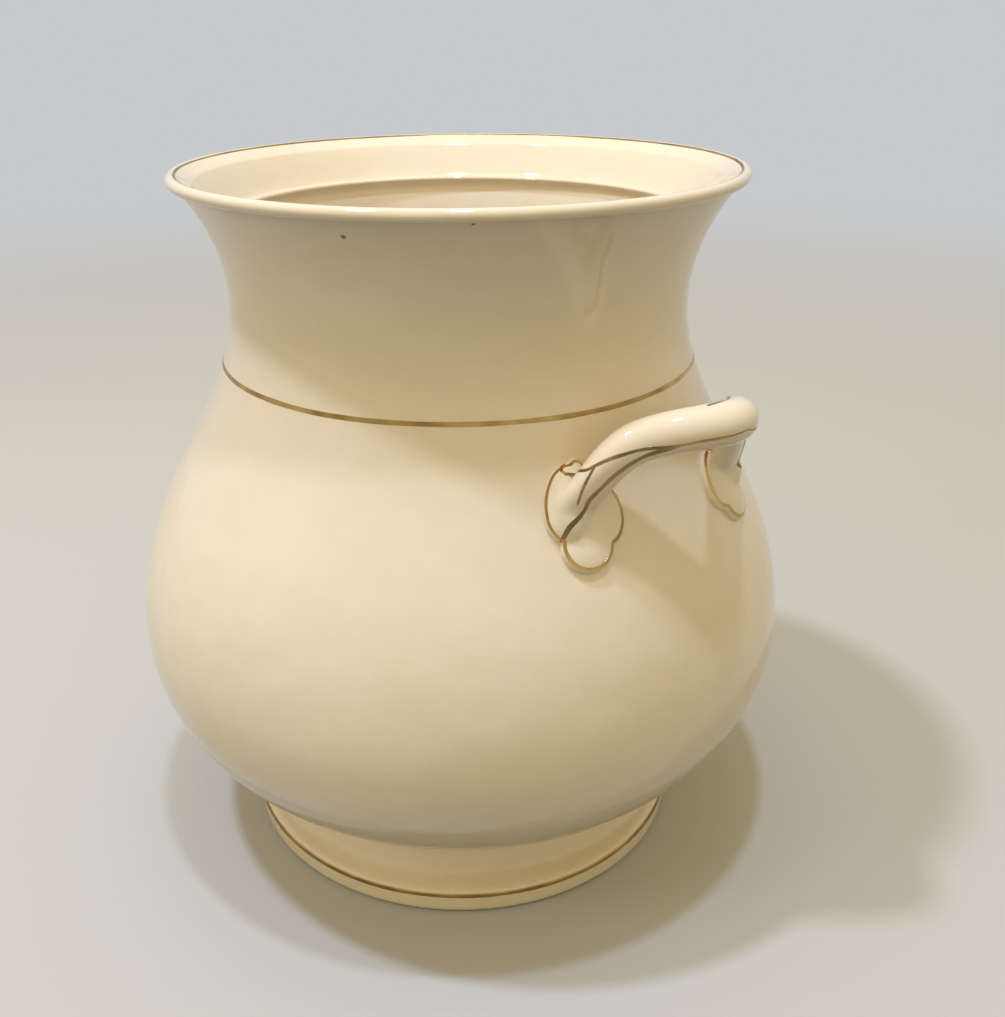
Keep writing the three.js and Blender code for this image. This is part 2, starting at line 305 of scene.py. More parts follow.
def glaze_group():
    """Colour, roughness and surface of the glaze, shared by every glazed piece."""
    group, start, end = shader_group("ivory_glaze_surface", inputs=[
        ("Colour", "NodeSocketColor", ivory),
        ("Pooled And Shaded Colour", "NodeSocketColor", pooled_and_shaded_ivory),
        ("Thickness", "NodeSocketFloat", 0.0),
        ("Speck Amount", "NodeSocketFloat", 1.0),
    ], outputs=[
        ("Colour", "NodeSocketColor"),
        ("Roughness", "NodeSocketFloat"),
        ("Normal", "NodeSocketVector"),
    ])
    place = group.nodes.new("ShaderNodeTexCoord").outputs["Object"]

    # the body shows through a little unevenly, in soft clouds and a fainter mottle
    cloudy = ramp(group, clouds(group, place, scale=16.0, detail=3.0), 0.35, 0.75, 0.0, 0.22)
    mottle = clouds(group, place, scale=160.0, detail=2.0)
    # the bands where the glaze pools and where painted shade falls darken it the same way
    darker_share = combined(group, "ADD", start.outputs["Thickness"], cloudy)
    darker_share = combined(group, "ADD", darker_share, ramp(group, mottle, 0.3, 0.7, -0.04, 0.04))
    colour = blend(group, darker_share, start.outputs["Colour"], start.outputs["Pooled And Shaded Colour"])

    # dark iron specks, few and far between
    coarse_specks = dots(group, place, 34.0, core=0.008, edge=0.017, depth=1.0, rare=0.86)
    fine_specks = dots(group, place, 120.0, core=0.010, edge=0.022, depth=0.5, rare=0.90)
    speck = combined(group, "ADD", coarse_specks, fine_specks)
    speck = combined(group, "MULTIPLY", speck, start.outputs["Speck Amount"])
    group.links.new(blend(group, speck, colour, speck_brown), end.inputs["Colour"])

    # the glaze is glossy, and a little duller here and there
    group.links.new(ramp(group, mottle, 0.3, 0.75, 0.045, 0.085), end.inputs["Roughness"])

    # long soft waves in the glaze, a fine ripple on them, and specks that are a little sunk
    waves = clouds(group, place, scale=45.0, detail=1.0, roughness=0.4)
    ripple = clouds(group, place, scale=210.0, detail=1.0, roughness=0.4)
    height = combined(
        group, "ADD",
        combined(group, "MULTIPLY", waves, glaze_wave_height),
        combined(group, "MULTIPLY", ripple, glaze_ripple_height))
    height = combined(group, "SUBTRACT", height, combined(group, "MULTIPLY", speck, speck_depth))
    group.links.new(bumped(group, height), end.inputs["Normal"])
    return group


glaze_pool_and_shade = pool_and_shade_group()
glaze_surface = glaze_group()


def glaze(name, pool_and_shade_bands=(), tread=False, specks=1.0, pits=()):
    """Ivory glaze. It is darker in bands of level, each (middle, half width, amount), where it
    pools and as painted shade, and a foot's tread is wiped clean of it. Pits, each (place,
    radius), are pinholes gone dark."""
    material = bpy.data.materials.new(name)
    material.use_nodes = True
    tree = material.node_tree
    shader = tree.nodes["Principled BSDF"]
    shader.inputs["IOR"].default_value = 1.52
    shader.inputs["Coat Weight"].default_value = 0.35
    shader.inputs["Coat Roughness"].default_value = 0.03
    pool_and_shade_amount = 0.0
    for middle, half, amount in pool_and_shade_bands:
        pool_and_shade_band = placed(tree, glaze_pool_and_shade, {"Middle": middle, "Half Width": half, "Amount": amount})
        pool_and_shade_amount = combined(tree, "ADD", pool_and_shade_amount, pool_and_shade_band.outputs["Thickness"])
    surface = placed(tree, glaze_surface, {
        "Colour": ivory,
        "Pooled And Shaded Colour": pooled_and_shaded_ivory,
        "Thickness": pool_and_shade_amount,
        "Speck Amount": specks,
    })

    colour = surface.outputs["Colour"]
    roughness = surface.outputs["Roughness"]
    if tread:
        bare = ramp(tree, level_of(tree), wiped_level, glazed_level, 1.0, 0.0)
        colour = blend(tree, bare, colour, bisque)
        roughness = blend(tree, bare, roughness, 0.85, kind="FLOAT")
    for pit, radius in pits:
        off = tree.nodes.new("ShaderNodeVectorMath")
        off.operation = "DISTANCE"
        off.inputs[1].default_value = pit
        tree.links.new(tree.nodes.new("ShaderNodeTexCoord").outputs["Object"], off.inputs[0])
        dark = ramp(tree, off.outputs["Value"], radius * 0.5, radius, 0.9, 0.0)
        colour = blend(tree, dark, colour, pit_brown)
    tree.links.new(colour, shader.inputs["Base Color"])
    tree.links.new(roughness, shader.inputs["Roughness"])
    tree.links.new(surface.outputs["Normal"], shader.inputs["Normal"])
    return material


def joins(piece, material, slot, *nodes):
    """Gives a piece its finish and its place in the model."""
    piece.data.materials.append(material)
    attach(piece, "root")
    if nodes:
        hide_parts(*nodes)


# darker glaze by the foot: pooling in the crease, and painted shade under the belly's overhang
bowl_glaze = glaze("bowl_glaze", [(0.031, 0.008, 0.7), (0.040, 0.012, 0.3)])
joins(bowl, bowl_glaze, "glaze", "bowl")

# Foot ring. A low spreading foot, thrown by itself and luted under the bowl, with a rounded edge
# and a tread that is wiped clean of glaze before firing. The glaze pools where it meets the bowl,
# and painted shade darkens it there and on the hollow of its flare, under the belly.
foot_waist_radius = 0.0890
foot_wall = 0.0095
foot_edge_radius = 0.1020
foot_edge_height = 0.0114
foot_edge_round = 0.0032
foot_tread = 0.0090
foot_fillet = 0.0016
tread_corner = 0.0014


def arc(centre, radius, first, last, steps):
    """Points of a round stretch of an outline, in (radius, level)."""
    return [
        (centre[0] + radius * math.cos(turn), centre[1] + radius * math.sin(turn))
        for turn in spread(first, last, steps)
    ]


def sweep(first, first_handle, last_handle, last, steps):
    """Points of a long curve of an outline, drawn by its ends and their handles."""
    ends = [Vector(end) for end in (first, first_handle, last_handle, last)]
    points = []
    for t in spread(0, 1, steps):
        shares = ((1 - t)**3, 3 * t * (1 - t)**2, 3 * t**2 * (1 - t), t**3)
        point = sum((end * share for end, share in zip(ends, shares)), Vector((0, 0)))
        points.append(tuple(point))
    return points


edge_middle = foot_edge_radius - foot_edge_round
tread_inside = edge_middle - foot_tread
foot_ring = turned("foot_ring_body", [
    (foot_waist_radius - foot_wall, foot_height + 0.0004),
    *sweep(
        (foot_waist_radius - foot_wall, foot_height - 0.0010),
        (foot_waist_radius - foot_wall, 0.0200),
        (tread_inside - 0.0042, 0.0140),
        (tread_inside - 0.0034, 0.0090), 10),
    *arc((tread_inside + tread_corner, tread_corner), tread_corner, math.pi, math.pi * 1.5, 5),
    *arc((edge_middle, foot_edge_round), foot_edge_round, -math.pi / 2, 0, 10),
    *arc((edge_middle, foot_edge_height - foot_edge_round), foot_edge_round, 0, math.pi * 0.36, 8),
    *sweep(
        (foot_edge_radius - 0.0024, foot_edge_height + 0.0001),
        (foot_edge_radius - 0.0090, foot_edge_height + 0.0016),
        (foot_waist_radius + 0.0010, foot_edge_height + 0.0050),
        (foot_waist_radius, foot_height - foot_fillet), 28)[1:],
    *sweep(
        (foot_waist_radius, foot_height - foot_fillet),
        (foot_waist_radius, foot_height - 0.0004),
        (foot_waist_radius + 0.0006, foot_height + 0.0003),
        (foot_waist_radius + 0.0021, foot_height + 0.0014), 6)[1:],
    (foot_waist_radius - 0.0010, foot_height + 0.0008),
])
# darker glaze at the join with the bowl, pooling and painted shade, and painted shade on the flare
foot_glaze = glaze("foot_glaze", [(0.030, 0.008, 0.8), (0.0158, 0.006, 0.25)], tread=True)
joins(foot_ring, foot_glaze, "glaze", "foot_ring")

# Neck. The waisted, flared upper part, thrown separately and luted on at the seam under the
# gilt. Its glaze is a little darker at the waist, mostly painted shade from the lip and a little
# pooling, and two pinholes have opened in it under the lip.
neck = turned("neck_body", [
    *[(wall(level)[0], level) for level in spread(seam_level, neck_top, 56)],
    *[(inside(level), level) for level in spread(neck_top, seam_level, 56)],
])


def neck_pit(angle, level, radius):
    """A pinhole on the outside of the neck, as (place, radius)."""
    reach = wall(level)[0]
    return settled(Vector((reach * math.cos(angle), reach * math.sin(angle), level))), radius


# a darker band at the waist: painted shade from the lip, and a little pooling
neck_glaze = glaze("neck_glaze", [(0.2475, 0.02, 0.12)], pits=[
    neck_pit(angle=math.radians(-62.4), level=0.2892, radius=0.0012),
    neck_pit(angle=math.radians(-39.8), level=0.2948, radius=0.0009),
])
joins(neck, neck_glaze, "glaze", "neck")

# Lip. The mouth is finished with a roll of clay that hangs a little over the outside of the neck,
# and its inner side runs smoothly into the wall.
lip_height = 0.0046
lip_round = 0.0024
lip_overhang = 0.0036
lip_turn = math.pi * 0.72
lip_centre = mouth_radius + lip_overhang - lip_round
lip_level = neck_top + lip_height - lip_round
inner_lean = wall(neck_top)[1]
lip = turned("lip_roll", [
    (inside(neck_top) - 0.0001, neck_top - 0.0002),
    (mouth_radius - 0.0006, neck_top - 0.0002),
    (mouth_radius, neck_top - 0.0004),
    *sweep(
        (mouth_radius, neck_top - 0.0004),
        (mouth_radius + 0.0002, neck_top + 0.0001),
        (lip_centre - 0.0008, lip_level - lip_round - 0.0001),
        (lip_centre, lip_level - lip_round), 5)[1:],
    *arc((lip_centre, lip_level), lip_round, -math.pi / 2, lip_turn, 26)[1:],
    *sweep(
        (lip_centre + lip_round * math.cos(lip_turn), lip_level + lip_round * math.sin(lip_turn)),
        (lip_centre - 0.0030, lip_level + 0.0008),
        (inside(neck_top) + inner_lean * 0.0010, neck_top + 0.0010),
        (inside(neck_top), neck_top), 10)[1:],
])
joins(lip, glaze("lip_glaze", specks=0.5), "glaze", "lip")

# Lid ledge. A ring of the same clay luted inside the mouth, where a lid would rest: a narrow flat
# with a rounded nose, and a hollow sweep above it that runs into the wall.
ledge_drop = 0.0136
ledge_reach = 0.0046
ledge_seat = 0.0024
ledge_rise = 0.0070
ledge_under = 0.0075
ledge_nose = 0.0011
ledge_sink = 0.0003
seat_level = neck_top - ledge_drop
nose_radius = inside(seat_level) - ledge_reach
ledge_top = seat_level + ledge_rise
ledge_bottom = seat_level - ledge_under
seat_end = nose_radius + ledge_nose + ledge_seat
lid_ledge = turned("lid_ledge_ring", [
    *[(inside(level) + ledge_sink, level) for level in spread(ledge_bottom, ledge_top, 12)],
    *sweep(
        (inside(ledge_top) - 0.00005, ledge_top),
        (inside(ledge_top - 0.0020) - 0.0001, ledge_top - 0.0020),
        (seat_end + 0.0010, seat_level + 0.0004), (seat_end, seat_level), 14),
    *arc(
        (nose_radius + ledge_nose, seat_level - ledge_nose), ledge_nose,
        math.pi / 2, math.pi * 1.35, 12),
    *sweep(
        (nose_radius + ledge_nose * 0.55, seat_level - 2.05 * ledge_nose),
        (nose_radius + 0.0018, seat_level - 0.0034),
        (inside(ledge_bottom + 0.0026) - 0.0002, ledge_bottom + 0.0026),
        (inside(ledge_bottom) - 0.00005, ledge_bottom), 8)[1:],
])
# a faint darker band at the seat and nose: pooling on the seat, painted shade under the nose
ledge_glaze = glaze("ledge_glaze", [(seat_level, 0.004, 0.1)], specks=0.5)
joins(lid_ledge, ledge_glaze, "glaze", "lid_ledge")

# Handles. Each is a rolled and bent grip that springs from two moulded leaf sprigs. Grip and
# sprigs are luted on and smoothed into each other with slip, and the glaze softens every edge.
leaf_level = foot_height + 0.1573
leaf_spacing = 0.0780
handle_slope = 0.07
leaf_width = 0.0320
leaf_edge = 0.0015
leaf_directions = 168

# Lobes of a leaf as shares of its width: centre, half length, half width and the turn of the
# length, and how high each swells. The side is measured away from the middle of the handle.
lobes = [
    dict(side=0.17, up=0.15, long=0.41, short=0.30, turn=math.pi * 0.59, swell=0.0056),
    dict(side=-0.19, up=0.0, long=0.36, short=0.31, turn=math.pi * 0.45, swell=0.0020),
    dict(side=0.03, up=-0.29, long=0.31, short=0.28, turn=0, swell=0.0024),
    dict(side=0.0, up=0.49, long=0.11, short=0.11, turn=0, swell=0.0016),
]


def lobe_reach(lobe, direction):
    """How far a lobe's edge lies from the leaf's centre in a direction, or 0."""
    dx = math.cos(direction - lobe["turn"])
    dy = math.sin(direction - lobe["turn"])
    cx = lobe["side"] * math.cos(lobe["turn"]) + lobe["up"] * math.sin(lobe["turn"])
    cy = lobe["up"] * math.cos(lobe["turn"]) - lobe["side"] * math.sin(lobe["turn"])
    a = (dx / lobe["long"])**2 + (dy / lobe["short"])**2
    b = dx * cx / lobe["long"]**2 + dy * cy / lobe["short"]**2
    c = (cx / lobe["long"])**2 + (cy / lobe["short"])**2 - 1
    root = b * b - a * c
    return max(0.0, (b + math.sqrt(root)) / a) if root > 0 else 0.0


def leaf_reach(direction):
    """How far the leaf's outline lies from its centre in a direction."""
    return leaf_width * max(lobe_reach(lobe, direction) for lobe in lobes)


def leaf_swell(side, up):
    """How high the leaf's face stands over its edge at a place on it: each lobe is a pillow."""
    best = 0.0
    for lobe in lobes:
        dx = side / leaf_width - lobe["side"]
        dy = up / leaf_width - lobe["up"]
        along = dx * math.cos(lobe["turn"]) + dy * math.sin(lobe["turn"])
        across = dy * math.cos(lobe["turn"]) - dx * math.sin(lobe["turn"])
        off = (along / lobe["long"])**2 + (across / lobe["short"])**2
        best = max(best, math.sqrt(max(0.0, 1 - off)) * lobe["swell"])
    return best


def on_wall(angle, level, raised):
    """A point on the wall at an angle and a level, raised square to the wall."""
    radius, lean = wall(level)
    reach = radius + raised / math.hypot(1, lean)
    height = level - raised * lean / math.hypot(1, lean)
    return settled(Vector((reach * math.cos(angle), reach * math.sin(angle), height)))


def leaf_place(hand, facing, side, up, raised):
    """A point on a leaf. hand is 1 at a handle's anticlockwise end, seen from above, else -1."""
    level = leaf_level - hand * handle_slope * leaf_spacing / 2
    radius = wall(level)[0]
    angle = facing + hand * (math.asin(leaf_spacing / 2 / radius) + side / radius)
    return on_wall(angle, level + up, raised)


def leaf_point(hand, facing, share, direction, raised):
    """A point on a leaf, at a share of the way from its centre to its outline."""
    reach = leaf_reach(direction) * share
    return leaf_place(
        hand, facing, reach * math.cos(direction), reach * math.sin(direction), raised)


# the rings of a leaf, as shares of its reach and of its edge's height
leaf_rings = [
    (0.12, 1), (0.3, 1), (0.5, 1), (0.68, 1), (0.82, 1), (0.91, 1), (0.96, 1), (0.99, 0.86),
    (1.0, 0.62), (1.0, 0.2), (1.0, -0.8),
]


def drawn_out(bm, edges):
    """Extrudes a loop of edges in place, and gives the new vertices and the new loop."""
    made = bmesh.ops.extrude_edge_only(bm, edges=edges)["geom"]
    verts = [v for v in made if isinstance(v, bmesh.types.BMVert)]
    loop = [
        e for e in made
        if isinstance(e, bmesh.types.BMEdge) and all(v in verts for v in e.verts)
    ]
    return verts, loop


def leaf_mesh(bm, hand, facing):
    """A leaf on the wall, from rings of a disc that take the lobed outline."""
    disc = bmesh.ops.create_circle(bm, cap_ends=True, segments=leaf_directions, radius=1)["verts"]
    top = disc[0].link_faces[0]
    edge = list(top.edges)
    places = {vert: (leaf_rings[0], math.atan2(vert.co.y, vert.co.x)) for vert in disc}
    centre = bmesh.ops.poke(bm, faces=[top])["verts"][0]
    for ring in leaf_rings[1:]:
        verts, edge = drawn_out(bm, edge)
        for vert in verts:
            places[vert] = (ring, math.atan2(vert.co.y, vert.co.x))
    bmesh.ops.holes_fill(bm, edges=edge, sides=0)
    for vert, ((share, lift), direction) in places.items():
        reach = leaf_reach(direction) * share
        swell = leaf_swell(reach * math.cos(direction), reach * math.sin(direction))
        raised = (leaf_edge + swell) if lift == 1 else leaf_edge * lift
        vert.co = leaf_point(hand, facing, share, direction, raised)
    centre.co = leaf_point(hand, facing, 0, 0, leaf_edge + leaf_swell(0, 0))


# where slip fills the hollow between a leaf's outer lobe and the limb, and its half sizes
slip_side = 0.0062
slip_up = 0.0044
slip_across = 0.0080
slip_along = 0.0126
slip_height = 0.0086


def slip_fill(bm, hand, facing):
    """A low mound of slip that brings the outer lobe up flush with the limb."""
    for vert in bmesh.ops.create_uvsphere(bm, u_segments=36, v_segments=24, radius=1)["verts"]:
        across, along, lift = vert.co
        vert.co = leaf_place(
            hand, facing, slip_side + across * slip_across, slip_up + along * slip_along,
            lift * slip_height)


# side, lift off the wall, rise, width and depth, from the root up to the crown
limb = [
    (leaf_spacing / 2 + 0.0050, -0.0050, 0.1540, 0.0190, 0.0120),
    (leaf_spacing / 2 + 0.0010, 0.0086, 0.1688, 0.0175, 0.0112),
    (0.0270, 0.0225, 0.1866, 0.0156, 0.0145),
    (0.0, 0.0400, 0.1940, 0.0158, 0.0156),
]
grip_sides = 40
grip_steps = 120


def grip_station(side, lift, rise, width, depth):
    level = foot_height + rise + handle_slope * side
    reach = math.sqrt((wall(level)[0] + lift)**2 - side**2)
    return Vector((side, reach, level)), Vector((width, depth, 0))


stations = [grip_station(*values) for values in limb]
stations += [grip_station(-side, *rest) for side, *rest in reversed(limb[:-1])]
grip_centres = [centre for centre, _ in stations]
grip_sizes = [size for _, size in stations]
grip_reading_step = 0.002


def through(points, share):
    """A smooth curve through points, at a share of the way along."""
    spans = len(points) - 1
    i = min(int(share * spans), spans - 1)
    t = share * spans - i
    before = points[i - 1] if i > 0 else points[0] * 2 - points[1]
    after = points[i + 2] if i + 2 <= spans else points[-1] * 2 - points[-2]
    a, b = points[i], points[i + 1]
    return 0.5 * (
        2 * a + (b - before) * t + (2 * before - 5 * a + 4 * b - after) * t**2
        + (3 * a - before - 3 * b + after) * t**3
    )


def grip_frame(along):
    """Centre, across, away and size of the grip at a share of its length."""
    ahead = through(grip_centres, min(1, along + grip_reading_step))
    behind = through(grip_centres, max(0, along - grip_reading_step))
    forward = (ahead - behind).normalized()
    outward = Vector((0, 1, 0))
    away = (outward - forward * outward.dot(forward)).normalized()
    return through(grip_centres, along), forward.cross(away), away, through(grip_sizes, along)


def on_grip(along, turn, raised=0.0):
    """A point on the grip, or raised off it, at a share of its length and a turn round it."""
    centre, across, away, size = grip_frame(along)
    return (
        centre + across * ((size.x / 2 + raised) * math.cos(turn))
        + away * ((size.y / 2 + raised) * math.sin(turn))
    )


def turn_to(facing):
    """Turns what is drawn for the +Y side to the side that a handle faces."""
    return Matrix.Rotation(facing - math.pi / 2, 3, "Z")


def grip_mesh(bm, facing):
    """The grip, from a round section drawn along its curve."""
    turn_to_side = turn_to(facing)
    ring = bmesh.ops.create_circle(bm, cap_ends=True, segments=grip_sides, radius=1)["verts"]
    turns = [math.atan2(vert.co.y, vert.co.x) for vert in ring]
    edges = list(ring[0].link_faces[0].edges)
    for vert, turn in zip(ring, turns):
        vert.co = turn_to_side @ on_grip(0, turn)
    for along in spread(0, 1, grip_steps)[1:]:
        verts, edges = drawn_out(bm, edges)
        for vert, turn in zip(verts, turns):
            vert.co = turn_to_side @ on_grip(along, turn)
    bmesh.ops.holes_fill(bm, edges=edges, sides=0)


# the crook between limb and leaf, as (side, up, raised), and how far and how often it is smoothed
crook_place = (0.0055, 0.0075, 0.0060)
crook_rounds = [(0.0170, 14), (0.0120, 26), (0.0085, 20)]


def filleted(mesh, facing):
    """Smooths the crook between each limb and its leaf, which slip has filled."""
    bm = bmesh.new()
    bm.from_mesh(mesh)
    for hand in (-1, 1):
        crook = leaf_place(hand, facing, *crook_place)
        for reach, rounds in crook_rounds:
            near = [vert for vert in bm.verts if (vert.co - crook).length < reach]
            for _ in range(rounds):
                bmesh.ops.smooth_vert(
                    bm, verts=near, factor=0.5, use_axis_x=True, use_axis_y=True, use_axis_z=True)
    bm.to_mesh(mesh)
    bm.free()


root_depth = 0.0030
skin_fineness = 0.00042
skin_softening = 6


def held_in_wall(point):
    """A point of a root, which doesn't go through the wall to the inside of the bowl."""
    radius, lean = wall(point.z)
    ring = math.hypot(point.x, point.y)
    reach = max(ring, radius - root_depth * math.hypot(1, lean))
    return Vector((point.x * reach / ring, point.y * reach / ring, point.z))


def handle(name, facing):
    """Grip and leaves, joined and softened as by slip and glaze."""
    bm = bmesh.new()
    grip_mesh(bm, facing)
    for hand in (-1, 1):
        leaf_mesh(bm, hand, facing)
        slip_fill(bm, hand, facing)
    for vert in bm.verts:
        vert.co = held_in_wall(vert.co)
    piece = finished(name, bm)
    remesh = piece.modifiers.new("joined", "REMESH")
    remesh.mode = "VOXEL"
    remesh.voxel_size = skin_fineness
    soften = piece.modifiers.new("softened", "SMOOTH")
    soften.factor = 0.5
    soften.iterations = skin_softening
    baked = bpy.data.meshes.new_from_object(
        piece.evaluated_get(bpy.context.evaluated_depsgraph_get()))
    piece.modifiers.clear()
    piece.data = baked
    filleted(baked, facing)
    baked.shade_smooth()
    return piece


handle_glaze = glaze("handle_glaze", specks=0.4)
handle_facings = {"right": 0.0, "left": math.pi}
handles = {}
for side, facing in handle_facings.items():
    handles[side] = handle(f"handle_{side}", facing)
    joins(
        handles[side], handle_glaze, "glaze",
        f"grip_{side}", f"leaf_{side}_front", f"leaf_{side}_back")

# Gilding. Lines of burnished gold, painted by hand with a fine brush on the fired glaze and fired
# again at a low heat. The brush's load shows in their width, and the high places are rubbed.
gilt_build = 0.00006
gilt_sink = 0.00012
gilt_grain_height = 0.00002
bright_gold = (0.720, 0.470, 0.145, 1)
dull_gold = (0.380, 0.235, 0.070, 1)
rubbed_brown = (0.380, 0.200, 0.110, 1)


def gilding_group():
    """Colour, metal, roughness and surface of the gold. The brush leaves it bright and dull by
    turns, and where it is rubbed, the ivory shows through brown."""
    group, start, end = shader_group("gilding_surface", inputs=[
        ("Bright", "NodeSocketColor", bright_gold),
        ("Dull", "NodeSocketColor", dull_gold),
        ("Rub Start", "NodeSocketFloat", 0.68),
        ("Rub End", "NodeSocketFloat", 0.76),
    ], outputs=[
        ("Colour", "NodeSocketColor"),
        ("Metallic", "NodeSocketFloat"),
        ("Roughness", "NodeSocketFloat"),
        ("Normal", "NodeSocketVector"),
    ])
    place = group.nodes.new("ShaderNodeTexCoord").outputs["Object"]
    load = clouds(group, place, scale=60, detail=2)
    rub = clouds(group, place, scale=420, detail=4)
    rubbed = ramp(group, rub, start.outputs["Rub Start"], start.outputs["Rub End"])
    gold = blend(
        group, ramp(group, load, 0.35, 0.65), start.outputs["Bright"], start.outputs["Dull"])
    group.links.new(blend(group, rubbed, gold, rubbed_brown), end.inputs["Colour"])
    group.links.new(ramp(group, rubbed, 0, 1, 1.0, 0.15), end.inputs["Metallic"])
    group.links.new(ramp(group, load, 0.3, 0.7, 0.22, 0.36), end.inputs["Roughness"])
    height = combined(group, "MULTIPLY", rub, gilt_grain_height)
    group.links.new(bumped(group, height), end.inputs["Normal"])
    return group


gilding_surface = gilding_group()


def gilding(name, wear, bright, dull):
    """Gold over the glaze, from whole to almost gone with its wear."""
    material = bpy.data.materials.new(name)
    material.use_nodes = True
    tree = material.node_tree
    shader = tree.nodes["Principled BSDF"]
    surface = placed(tree, gilding_surface, {
        "Bright": bright,
        "Dull": dull,
        "Rub Start": 0.74 - wear,
        "Rub End": 0.80 - wear * 0.6,
    })
    tree.links.new(surface.outputs["Colour"], shader.inputs["Base Color"])
    tree.links.new(surface.outputs["Metallic"], shader.inputs["Metallic"])
    tree.links.new(surface.outputs["Roughness"], shader.inputs["Roughness"])
    tree.links.new(surface.outputs["Normal"], shader.inputs["Normal"])
    return material


gilt = gilding("gilding", 0.06, bright=bright_gold, dull=dull_gold)

# a brush line's section, as shares of its width and of its build
brush_profile = [(-0.5, 0), (-0.42, 0.8), (-0.22, 1), (0, 1), (0.22, 1), (0.42, 0.8), (0.5, 0)]
brush_section = [
    (share, gilt_build * lift - (gilt_sink if lift == 0 else 0)) for share, lift in brush_profile
]
band_steps = 720
band_unevenness = 0.16
band_drift = 0.00022


def closed_lap(bm, places):
    """The first section of a brush line: its vertices and the loop of edges through them."""
    points = [bm.verts.new(place) for place in places]
    return points, [bm.edges.new((a, b)) for a, b in zip(points, points[1:] + points[:1])]


def round_noise(angle, fineness, offset):
    """Noise that closes on itself round the pail."""
    return noise.noise(Vector((math.cos(angle), math.sin(angle), offset)) * fineness)


def brushed(name, width, lay):
    """A line of gold round the pail. lay(across, raised) gives (radius, level) in the section."""
    bm = bmesh.new()
    points, first_ring = closed_lap(bm, [(share, 0, raised) for share, raised in brush_section])
    places = {point: (*values, 0.0) for point, values in zip(points, brush_section)}
    ring = first_ring
    for i in range(1, band_steps):
        verts, ring = drawn_out(bm, ring)
        for vert, values in zip(verts, brush_section):
            places[vert] = (*values, math.tau * i / band_steps)
    bmesh.ops.bridge_loops(bm, edges=first_ring + ring)
    for vert, (share, raised, angle) in places.items():
        hand = round_noise(angle, fineness=7, offset=0.3)
        drift = round_noise(angle, fineness=2.5, offset=4.1)
        across = share * width * (1 + band_unevenness * hand) + drift * band_drift
        radius, level = lay(across, raised)
        vert.co = settled(Vector((radius * math.cos(angle), radius * math.sin(angle), level)))
    return finished(name, bm)


def on_lip(across, raised):
    turn = lip_turn + across / lip_round
    reach = lip_round + raised
    return lip_centre + reach * math.cos(turn), lip_level + reach * math.sin(turn)


def on_neck(across, raised):
    level = seam_level + across
    return wall(level)[0] + raised, level


foot_line_level = 0.0093


def on_foot(across, raised):
    return foot_edge_radius + raised, foot_line_level + across


for name, width, lay in (
    ("lip", 0.0018, on_lip), ("neck", 0.0020, on_neck), ("foot", 0.0020, on_foot),
):
    line = brushed(f"gold_{name}_line", width, lay)
    joins(line, gilt, "gilt", f"gilt_{name}_line")

# Gilding of the handles. A border is painted on each leaf, and veins start at the leaf and run up
# the limb. They follow the clay, so each is laid on the handle's own surface.
# the veins' gold is darker than the border's: partly rubbed, partly painted shade on the limb's
# shaded sides
rubbed_and_shaded_gilt = gilding(
    "rubbed_and_shaded_gilding", 0.16, bright=(0.440, 0.280, 0.095, 1), dull=(0.170, 0.115, 0.050, 1))
worn_gilt = gilding(
    "worn_gilding", 0.30, bright=(0.520, 0.330, 0.110, 1), dull=(0.300, 0.150, 0.070, 1))
leaf_line_width = 0.0017
leaf_line_inset = 0.0014
leaf_line_lift = 0.0012
leaf_line_marks = 150
limb_line_lift = 0.0002
vein_marks = 110

# how a vein starts on the leaf, as (side, up, raised)
hook = [
    (0.0042, 0.0184, 0.0020), (0.0060, 0.0170, 0.0025), (0.0070, 0.0154, 0.0040),
    (0.0062, 0.0144, 0.0060), (0.0048, 0.0150, 0.0078),
]
outer_cusp = [(0.0108, -0.0069, 0.0015), (0.0097, -0.0047, 0.0050), (0.0072, -0.0016, 0.0060)]

# width of each vein, its start, and its way up the limb as (share along it, turn / pi)
veins = {
    "upper": (0.0014, hook, [
        (0.215, 1.020), (0.241, 0.906), (0.270, 0.806), (0.295, 0.717), (0.321, 0.639),
        (0.349, 0.567), (0.374, 0.505), (0.400, 0.462), (0.440, 0.450), (0.500, 0.480)]),
    "branch": (0.0011, [], [
        (0.241, 0.910), (0.222, 0.885), (0.200, 0.850), (0.173, 0.794), (0.131, 0.710)]),
    "lower": (0.0022, outer_cusp, [
        (0.120, 0.560), (0.160, 0.590), (0.201, 0.585), (0.254, 0.556), (0.310, 0.500),
        (0.360, 0.456), (0.400, 0.440)]),
}

# the streak along each crest, almost worn away by hands
crest_width = 0.0017
crest_marks = 60
crest = [(0.450, 1.00), (0.475, 1.07), (0.500, 1.12), (0.530, 1.16), (0.560, 1.19), (0.590, 1.20)]

# a stroke starts and ends at a quarter of its width, and swells to all of it over this share
stroke_tip = 0.25
stroke_taper = 0.06
stroke_unevenness = 0.2
stroke_fineness = 160


